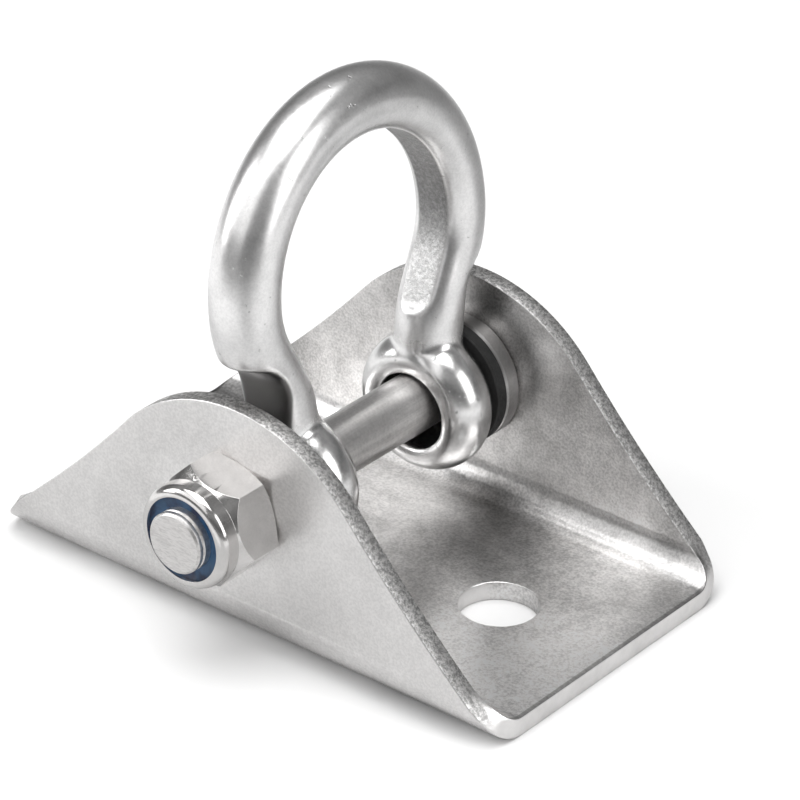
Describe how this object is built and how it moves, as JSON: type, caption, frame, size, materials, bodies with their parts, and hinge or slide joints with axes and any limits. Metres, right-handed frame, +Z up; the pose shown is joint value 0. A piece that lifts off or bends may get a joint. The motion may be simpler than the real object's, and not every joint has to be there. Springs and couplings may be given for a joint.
{
  "type": "pad eye",
  "caption": "Pressed stainless pad eye: U-shaped bracket with two bell-shaped ears, a through bolt with nylon lock nut, and a bow shackle that swings between them.",
  "frame": {"origin": "centre of the flat underside of the base", "axes": "+X along the base, +Y along the bolt from the lock nut to the bolt head, +Z up from the mounting face"},
  "size_m": [0.098, 0.079, 0.0822],
  "materials": {
    "plate_steel": "tumbled satin stainless plate",
    "cast_steel": "polished stainless, fine grain in the flattened inside",
    "bolt_steel": "drawn stainless bar",
    "nut_steel": "polished stainless",
    "washer_steel": "satin stainless",
    "blue_nylon": "smooth nylon",
    "black_nylon": "matt nylon"
  },
  "bodies": {
    "mount": {"bracket": "plate_steel", "bolt": "bolt_steel", "locknut_body": "nut_steel", "locknut_insert": "blue_nylon"},
    "shackle": {"shackle_bow": "cast_steel"},
    "far_steel": {"far_steel_washer": "washer_steel"},
    "far_nylon": {"far_nylon_washer": "black_nylon"},
    "near_steel": {"near_steel_washer": "washer_steel"},
    "near_nylon": {"near_nylon_washer": "black_nylon"}
  },
  "joints": [
    {"name": "shackle_swing", "type": "hinge", "parent": "mount", "child": "shackle", "pos_m": [0, 0, 0.0227], "axis": [0, 1, 0], "range_deg": [-54, 63]},
    {"name": "far_steel_washer_turn", "type": "hinge", "parent": "mount", "child": "far_steel", "pos_m": [0, 0.0249, 0.02237], "axis": [0, 1, 0], "continuous": true},
    {"name": "far_nylon_washer_turn", "type": "hinge", "parent": "mount", "child": "far_nylon", "pos_m": [0, 0.02225, 0.02237], "axis": [0, 1, 0], "continuous": true},
    {"name": "near_steel_washer_turn", "type": "hinge", "parent": "mount", "child": "near_steel", "pos_m": [0, -0.0249, 0.02237], "axis": [0, 1, 0], "continuous": true},
    {"name": "near_nylon_washer_turn", "type": "hinge", "parent": "mount", "child": "near_nylon", "pos_m": [0, -0.02225, 0.02237], "axis": [0, 1, 0], "continuous": true}
  ]
}
